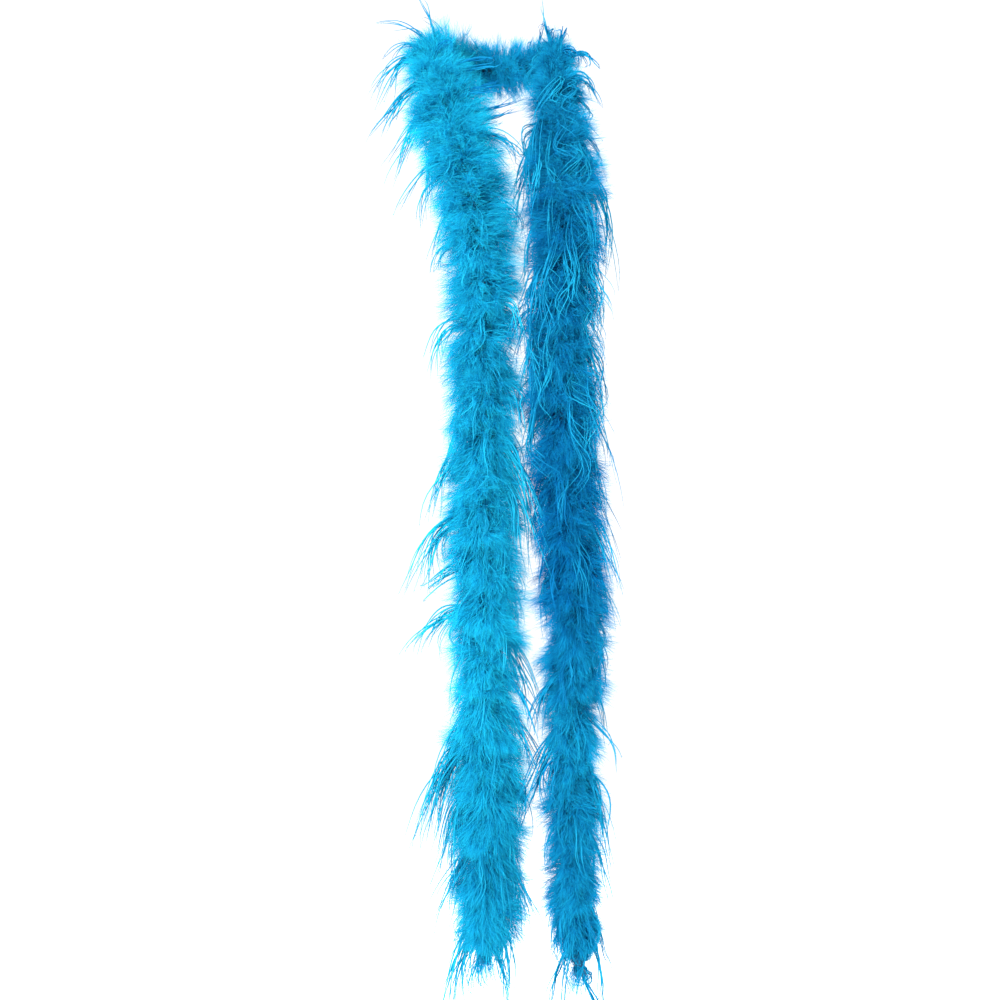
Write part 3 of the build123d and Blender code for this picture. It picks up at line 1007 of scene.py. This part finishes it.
def make_plumes(side, places):
    """All long strands of a tail, each in the piece of the tail that its root is in."""
    random = np.random.default_rng(seeds["plumes"] + int(outward[side]))
    parts = {place: [] for place in places}

    def add(distance, found):
        """Keeps parts whose root is at this distance from the nape."""
        place = next((name for name, (_, finish) in places.items() if distance <= finish), "hem")
        parts[place] += found

    for high, low, locks, *looks in loose[side]:
        start = distance_at_height(side, high) if high < -highest_root else highest_root
        edges = np.linspace(start, distance_at_height(side, low), lying_rows + 1)
        for first, last in zip(edges, edges[1:]):
            found = lying_plumes(side, first, last, locks // lying_rows, *looks, random)
            add((first + last) / 2.0, found)
    for distance, tip, bow, count, spread, hook, tone in bunches[side]:
        add(distance, bunch(side, distance, tip, bow, count, spread, hook, tone, random))
    replaced = {"collar": "collar", "chest": "chest", "waist": "upper", "hip": "lower"}
    for place, found in parts.items():
        piece = make_piece(f"plumes_{side}_{place}", found, plume_material)
        if place in replaced:
            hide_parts(f"ostrich_{side}_{replaced[place]}")
        ride_or_bend(piece, side, place)


def make_tuft(side):
    """The last wisps, bound in at the knot and hanging below it."""
    random = np.random.default_rng(seeds["tuft"] + int(outward[side]))
    count = tuft_wisps
    at = cord_ends[side] - outward[side] * random.uniform(0.0, tuft_height, count)
    places, along, away, outer = cord_frame(at)
    turn = random.uniform(0.0, 2.0 * pi, count)[:, None]
    radial = away * np.cos(turn) + outer * np.sin(turn)
    down = along * outward[side]
    starts = unit(down + radial * random.uniform(0.3, 1.2, (count, 1)))
    ends = down * 1.4 + radial * random.uniform(0.0, 0.8, (count, 1)) + random.normal(0.0, 0.2, (count, 3))
    lengths = random.uniform(*tuft_lengths, count)
    wisps = grow(places + radial * 0.5 * knot_radius, starts, unit(ends), lengths, barb_steps)
    widths = np.full((count, barb_steps), barb_width)
    parts = [ribbons(wisps, widths, random.normal(tuft_tone, tuft_tones, count), radial)]
    piece = make_piece(f"tuft_{side}_wisps", parts, down_material)
    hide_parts(f"tuft_{side}")
    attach(piece, f"{side}_lower")


def make_tail(side):
    """Cord, winding, down, plumes and the finished end on one side, from the collar down."""
    places = stretches(side)
    ends = [make_whipping(side), make_knot(side)]
    down_nodes = {
        "collar": ["collar"],
        "chest": ["chest", "bust"],
        "waist": ["waist"],
        "hip": ["hip", "thigh"],
        "hem": ["knee"],
    }
    for number, (place, (start, finish)) in enumerate(places.items()):
        nodes = [f"marabou_{side}_{name}" for name in down_nodes[place]]
        seed = 10 * number + (2 if side == "left" else 3)
        for piece in make_down(f"down_{side}_{place}", side, start, finish, seed, nodes):
            ride_or_bend(piece, side, place)
    make_plumes(side, places)
    make_tuft(side)

    link, middle = (distance_at_height(side, cuts[place]) for place in ("chest", "waist"))
    collar, end = places["collar"][1], abs(cord_ends[side])
    for place, body, start, finish in (
        ("chest", "link", collar, link),
        ("waist", "upper", link, middle),
        ("hip", "lower", middle, end),
    ):
        last = body == "lower"
        rope = make_rope(
            f"cord_{side}_{body}",
            outward[side] * start,
            outward[side] * finish,
            [f"core_{side}_{body}"],
        )
        ride_or_bend(rope, side, place)
        bound = finish - (whipping_length + knot_radius if last else 0.0)
        winding = make_winding(
            f"winding_{side}_{body}", outward[side] * start, outward[side] * bound, [f"binding_{side}_{body}"]
        )
        ride_or_bend(winding, side, place)


def make_collar():
    """What lies round the back and the sides of the neck."""
    reach = {side: distance_at_height(side, cuts["collar"]) for side in routes}
    rope = make_rope("cord_neck", -reach["left"], reach["right"], ["core_neck"])
    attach(rope, "neck")
    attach(make_winding("winding_neck", -reach["left"], reach["right"], ["binding_neck"]), "neck")
    for number, side in enumerate(routes):
        seed = seeds["nape"] + number
        for piece in make_down(f"down_nape_{side}", side, 0.0, nape_half, seed, ["marabou_nape"]):
            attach(piece, "neck")


# ------------------------ studio


def make_floor():
    """A plain pale floor."""
    mesh = bpy.data.meshes.new("floor")
    square = ((-1, -1), (1, -1), (1, 1), (-1, 1))
    corners = [(x * floor_half, y * floor_half, floor_height) for x, y in square]
    mesh.from_pydata(corners, [], [(0, 1, 2, 3)])
    material, nodes, link = new_material("floor")
    surface = nodes.new("ShaderNodeBsdfPrincipled")
    surface.inputs["Base Color"].default_value = (0.93, 0.93, 0.93, 1.0)
    surface.inputs["Roughness"].default_value = 0.8
    output = nodes.new("ShaderNodeOutputMaterial")
    link(surface.outputs[0], output.inputs["Surface"])
    mesh.materials.append(material)
    new_object("floor", mesh)


def make_light(name, place, size, power):
    """A soft square lamp that faces the boa."""
    lamp = bpy.data.lights.new(name, "AREA")
    lamp.size = size
    lamp.energy = power
    carrier = new_object(name, lamp)
    carrier.location = place
    aim = Vector(lit_place) - Vector(place)
    carrier.rotation_euler = aim.to_track_quat("-Z", "Y").to_euler()


def make_camera():
    """A long lens at waist height, straight in front of the wearer."""
    camera = bpy.data.cameras.new("camera")
    camera.lens = camera_lens
    carrier = new_object("camera", camera)
    carrier.location = camera_place
    carrier.rotation_euler = (radians(90.0), 0.0, 0.0)
    bpy.context.scene.camera = carrier


def make_studio():
    """A white sky and two lamps: the key at the front left, and one that fills from behind."""
    world = bpy.data.worlds.new("studio")
    world.use_nodes = True
    background = world.node_tree.nodes["Background"]
    background.inputs["Color"].default_value = (1.0, 1.0, 1.0, 1.0)
    background.inputs["Strength"].default_value = sky_strength
    bpy.context.scene.world = world
    bpy.context.scene.view_settings.view_transform = "Standard"
    make_floor()
    make_light("key", (-1.7, -2.6, 0.7), size=1.2, power=190.0)
    make_light("fill", (1.5, 2.4, 0.6), size=1.6, power=100.0)


make_camera()
make_collar()
for side in routes:
    make_tail(side)
make_studio()
